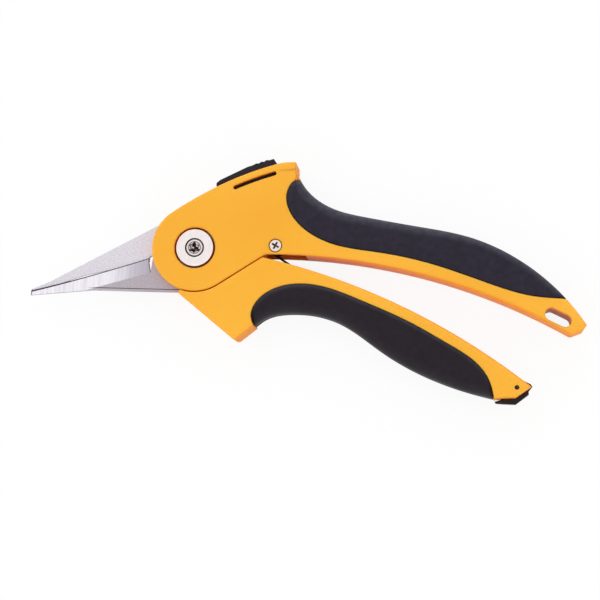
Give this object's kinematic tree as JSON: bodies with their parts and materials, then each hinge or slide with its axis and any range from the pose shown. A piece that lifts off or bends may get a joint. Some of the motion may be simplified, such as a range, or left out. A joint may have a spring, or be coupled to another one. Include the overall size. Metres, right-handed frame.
{
  "type": "pruning shears",
  "caption": "Straight-bladed garden snips with a round pivot head, thumb lock slide, soft-gripped handles, a hanging slot and a small fold-out end hook.",
  "frame": {"origin": "on the pivot axis, at the back face of the handles, on which the shears lie", "axes": "+X towards the handle ends, -X towards the blade tips, +Z out of the front face along the pivot axis, +Y towards the lock slide"},
  "size_m": [0.2022, 0.0901, 0.0144],
  "materials": {
    "shell": "satin moulded orange-yellow",
    "grip": "matte soft black",
    "blade_steel": "brushed across the blade",
    "bright_steel": "bright satin",
    "spring_steel": "blackened wire",
    "black_plastic": "matte black"
  },
  "bodies": {
    "upper_handle": {"upper_front_shell": "shell", "upper_back_shell": "shell", "upper_front_grip": "grip", "upper_back_grip": "grip", "fixed_blade": "blade_steel", "pivot_bolt": "bright_steel", "pivot_disc": "bright_steel", "pivot_bush": "bright_steel", "bearing_washer": "bright_steel", "pivot_nut": "bright_steel", "shell_screw": "bright_steel", "opening_spring": "spring_steel"},
    "lower_handle": {"lower_front_shell": "shell", "lower_back_shell": "shell", "lower_front_grip": "grip", "lower_back_grip": "grip", "moving_blade": "blade_steel", "hook_pin": "spring_steel"},
    "lock_slide": {"lock_slide": "black_plastic", "lock_pin": "bright_steel"},
    "end_hook": {"end_hook": "black_plastic"}
  },
  "joints": [
    {"name": "handle_pivot", "type": "hinge", "parent": "upper_handle", "child": "lower_handle", "pos_m": [0, 0, 0.007], "axis": [0, 0, -1], "range_deg": [0, 30]},
    {"name": "lock_slide", "type": "hinge", "parent": "upper_handle", "child": "lock_slide", "pos_m": [0.05937, -0.08607, 0.007], "axis": [0, 0, -1], "range_deg": [0, 2.38]},
    {"name": "hook_hinge", "type": "hinge", "parent": "lower_handle", "child": "end_hook", "pos_m": [0.1151, -0.0517, 0.007], "axis": [0, 0, 1], "range_deg": [0, 90]}
  ]
}
